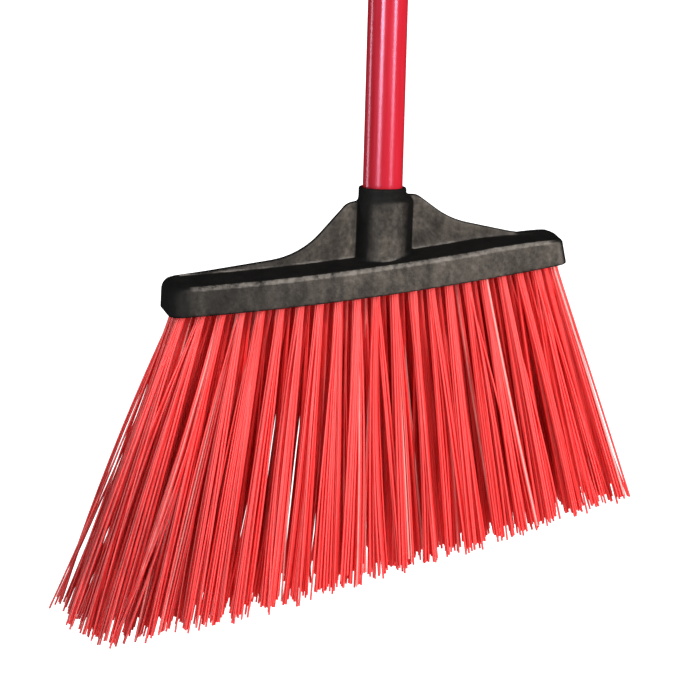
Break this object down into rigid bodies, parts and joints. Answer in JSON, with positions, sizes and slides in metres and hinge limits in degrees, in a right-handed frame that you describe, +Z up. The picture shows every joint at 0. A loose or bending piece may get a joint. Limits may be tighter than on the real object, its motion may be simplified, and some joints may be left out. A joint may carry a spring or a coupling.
{
  "type": "angle broom",
  "caption": "Angle broom: long round handle that screws into the socket of a tilted webbed block, with fanned bristle tufts cut on a slant and a swivelling hanger.",
  "frame": {"origin": "on the handle's axis at the mouth of the block's socket, where the full-diameter tube begins", "axes": "+Z up the handle, +X towards the end with the short bristles, +Y to the back of the block"},
  "size_m": [0.3069, 0.069, 1.4282],
  "materials": {
    "block_plastic": "moulded, semi-matt, lightly scuffed",
    "bristle_red": "drawn filament, satin",
    "handle_enamel": "gloss powder coat",
    "tip_plastic": "moulded, satin",
    "plug_plastic": "moulded, satin",
    "cap_plastic": "moulded, satin",
    "staple_steel": "drawn wire"
  },
  "bodies": {
    "handle": {"handle_tube": "handle_enamel", "threaded_tip": "tip_plastic"},
    "turn_link": {"end_plug": "plug_plastic"},
    "head": {"broom_block": "block_plastic", "tuft_anchors": "staple_steel", "tuft_roots": "bristle_red"},
    "bristles": {"tuft_column_01": "bristle_red", "tuft_column_02": "bristle_red", "tuft_column_03": "bristle_red", "tuft_column_04": "bristle_red", "tuft_column_05": "bristle_red", "tuft_column_06": "bristle_red", "tuft_column_07": "bristle_red", "tuft_column_08": "bristle_red", "tuft_column_09": "bristle_red", "tuft_column_10": "bristle_red", "tuft_column_11": "bristle_red", "tuft_column_12": "bristle_red", "tuft_column_13": "bristle_red", "tuft_column_14": "bristle_red", "tuft_column_15": "bristle_red", "tuft_column_16": "bristle_red", "tuft_column_17": "bristle_red", "tuft_column_18": "bristle_red", "tuft_column_19": "bristle_red", "tuft_column_20": "bristle_red", "tuft_column_21": "bristle_red"},
    "hanger": {"hang_cap": "cap_plastic"}
  },
  "joints": [
    {"name": "head_turn", "type": "hinge", "parent": "handle", "child": "turn_link", "pos_m": [0, 0, 0], "axis": [0, 0, -1], "range_deg": [0, 1440]},
    {"name": "head_travel", "type": "slide", "parent": "turn_link", "child": "head", "axis": [0, 0, -1], "range_m": [0, 0.02032]},
    {"name": "bristle_flex", "type": "hinge", "parent": "head", "child": "bristles", "pos_m": [0, 0, -0.0574], "axis": [0.9895, 0, 0.1444], "range_deg": [-15, 15], "stiffness_Nm_per_rad": 4.6, "deforming": ["tuft_roots"]},
    {"name": "cap_swivel", "type": "hinge", "parent": "handle", "child": "hanger", "pos_m": [0, 0, 1.1442], "axis": [0, 0, 1], "continuous": true}
  ],
  "couplings": [
    {"joint": "head_travel", "follows": "head_turn", "m_per_rad": 0.00080851}
  ]
}
